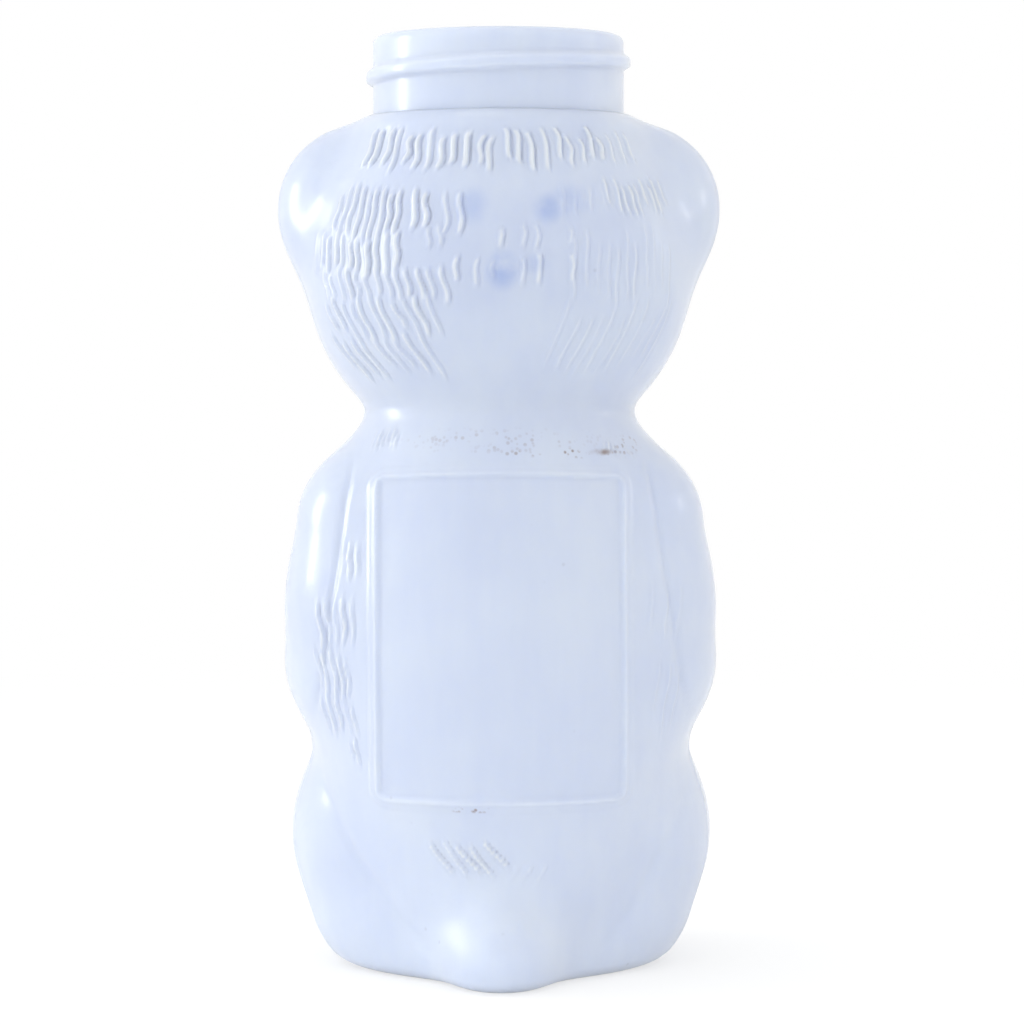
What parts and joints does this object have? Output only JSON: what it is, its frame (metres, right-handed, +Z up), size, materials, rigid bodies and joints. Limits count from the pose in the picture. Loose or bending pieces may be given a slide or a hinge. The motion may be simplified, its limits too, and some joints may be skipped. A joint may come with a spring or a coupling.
{
  "type": "bear-shaped squeeze bottle",
  "caption": "Blow-moulded squeeze bottle shaped as a seated bear, with a framed blank label panel on its back and a screw-threaded neck.",
  "frame": {"origin": "on the neck's axis, on the plane that the bottle stands on", "axes": "+Z up along the neck's axis; the bear faces -Y; its back, with the label panel and the tail, faces +Y"},
  "size_m": [0.0624, 0.0536, 0.1316],
  "materials": {
    "bottle_plastic": "natural milky translucent squeeze plastic, pale blue-white, soft satin gloss"
  },
  "bodies": {
    "root": {"bottle": "bottle_plastic"}
  },
  "joints": []
}
